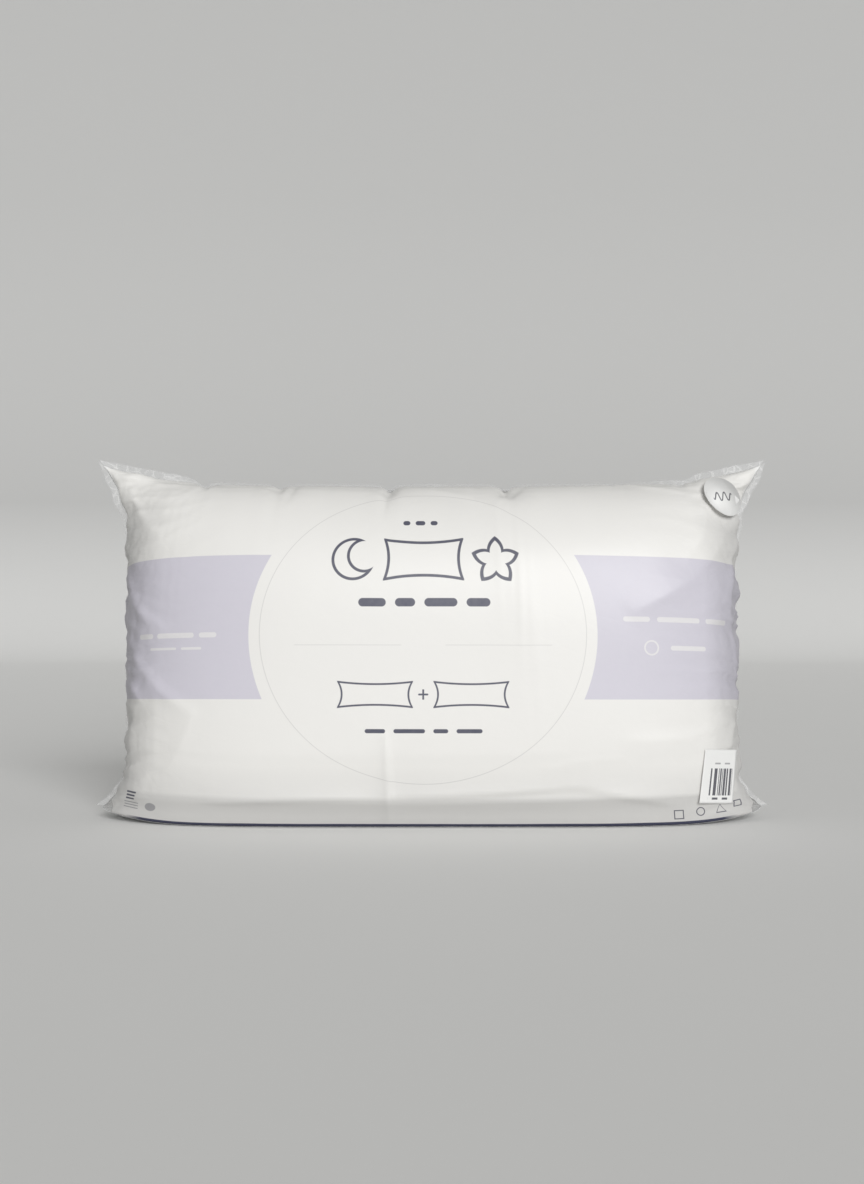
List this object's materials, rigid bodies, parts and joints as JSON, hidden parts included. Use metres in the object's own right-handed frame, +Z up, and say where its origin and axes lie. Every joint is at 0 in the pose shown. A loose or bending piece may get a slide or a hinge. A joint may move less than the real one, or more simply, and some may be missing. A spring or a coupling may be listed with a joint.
{
  "type": "bed pillow twin pack in film bag",
  "caption": "Pair of fibre-filled bed pillows sealed in a puffed, printed film bag that stands on its long flat base; ears at the upper corners and clear flaps at the lower ends",
  "frame": {"origin": "On the surface the pack stands on, under the middle of its bounding box.", "axes": "+X to the right of a person facing the pack, +Y away from that person through the pack's thickness, +Z up"},
  "size_m": [0.7716, 0.217, 0.4121],
  "materials": {
    "printed_film": "thin polythene film, printed opaque warm white, soft gloss",
    "clear_film": "thin clear polythene film, glossy",
    "label_paper": "matt white sticker paper",
    "microfibre": "close-woven brushed microfibre",
    "sewing_thread": "overlocked polyester thread",
    "hollow_fibre": "loose siliconised hollow fibre",
    "woven_tag": "satin woven tape"
  },
  "bodies": {
    "root": {"bag_front_film": "printed_film", "bag_back_film": "printed_film", "bag_base_gusset": "clear_film", "bag_top_seal": "clear_film", "bag_left_seal": "clear_film", "bag_right_seal": "clear_film", "price_label": "label_paper", "barcode_label": "label_paper", "front_pillow_cover_front": "microfibre", "front_pillow_cover_back": "microfibre", "front_pillow_edge_seam": "sewing_thread", "front_pillow_closing_seam": "sewing_thread", "front_pillow_fibre_fill": "hollow_fibre", "front_pillow_care_label": "woven_tag", "rear_pillow_cover_front": "microfibre", "rear_pillow_cover_back": "microfibre", "rear_pillow_edge_seam": "sewing_thread", "rear_pillow_closing_seam": "sewing_thread", "rear_pillow_fibre_fill": "hollow_fibre", "rear_pillow_care_label": "woven_tag"}
  },
  "joints": []
}
